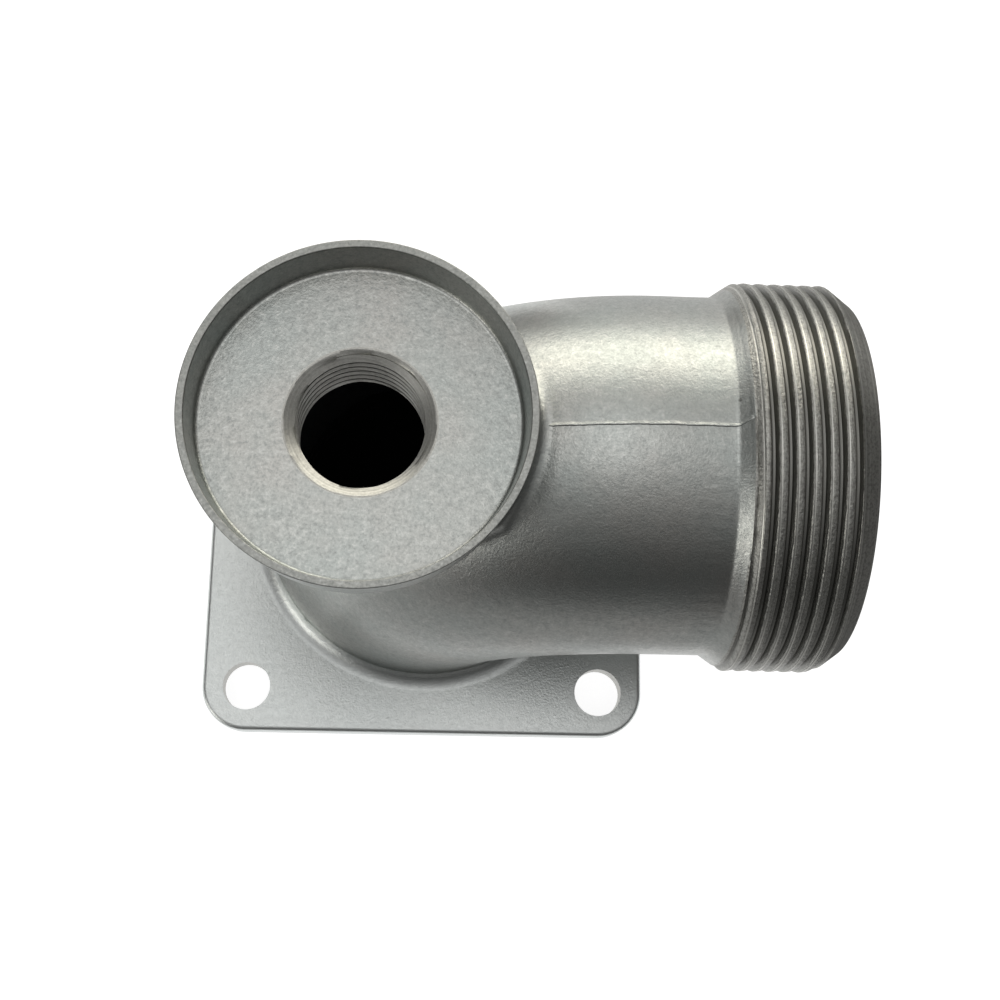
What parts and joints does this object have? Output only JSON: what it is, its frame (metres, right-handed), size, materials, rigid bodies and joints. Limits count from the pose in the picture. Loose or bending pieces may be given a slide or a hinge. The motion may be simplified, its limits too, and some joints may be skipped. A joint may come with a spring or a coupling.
{
  "type": "flanged pump outlet elbow",
  "caption": "Cast aluminium pump outlet elbow with a square bolt flange, a 90 degree bend, a male pipe thread and a filler cup with a threaded hole.",
  "frame": {"origin": "centre of the flange's mounting face", "axes": "+Z from the mounting face up to the filler cup, +X along the outlet pipe towards its threaded end, XZ the plane of symmetry"},
  "size_m": [0.0992, 0.075, 0.0678],
  "materials": {
    "cast_aluminium": "bead-blasted die casting with machined threads"
  },
  "bodies": {
    "root": {"outlet_elbow": "cast_aluminium"}
  },
  "joints": []
}
